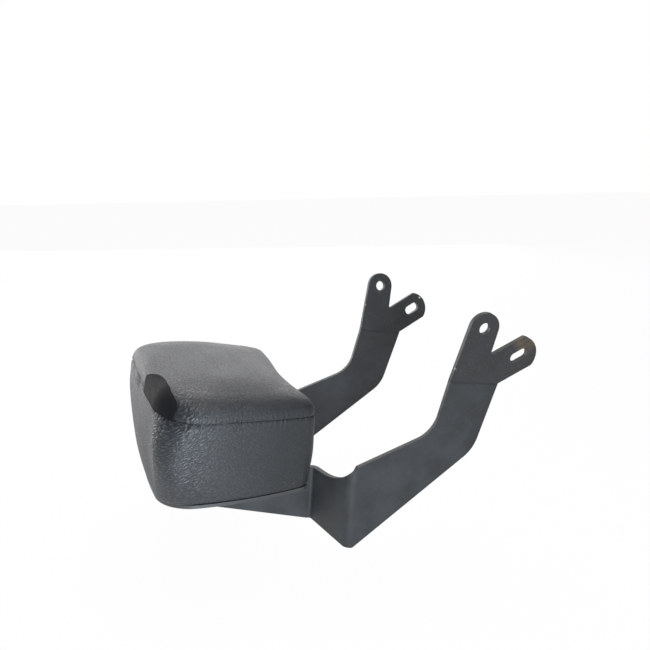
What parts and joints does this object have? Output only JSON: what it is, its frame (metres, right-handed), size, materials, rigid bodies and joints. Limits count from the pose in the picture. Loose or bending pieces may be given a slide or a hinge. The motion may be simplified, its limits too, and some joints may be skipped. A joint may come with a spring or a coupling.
{
  "type": "motorcycle backrest",
  "caption": "Padded passenger backrest on a folded black steel bracket, whose two arms end in forks with a round bolt hole and a slotted bolt hole.",
  "frame": {"origin": "midway between the centres of the two round bolt holes, at mid thickness of the forks", "axes": "+X from the cushion towards the forks, +Y towards the bike's left side, +Z out of the cushion's face, which is forwards on the bike"},
  "size_m": [0.3516, 0.2302, 0.2084],
  "materials": {
    "coated_steel": "satin",
    "backing_sheet": "matte",
    "plywood": "matte",
    "cushion_foam": "matte",
    "leatherette": "satin",
    "tag_cloth": "matte",
    "staple_wire": "satin",
    "zinc": "satin",
    "black_screw": "satin"
  },
  "bodies": {
    "root": {"bracket": "coated_steel", "backing_plate": "backing_sheet", "board": "plywood", "foam": "cushion_foam", "side_band": "leatherette", "top_panel": "leatherette", "seam_tag": "tag_cloth", "hem_staples": "staple_wire", "tee_nuts": "zinc", "screw_washers": "zinc", "pad_screws": "black_screw"}
  },
  "joints": []
}
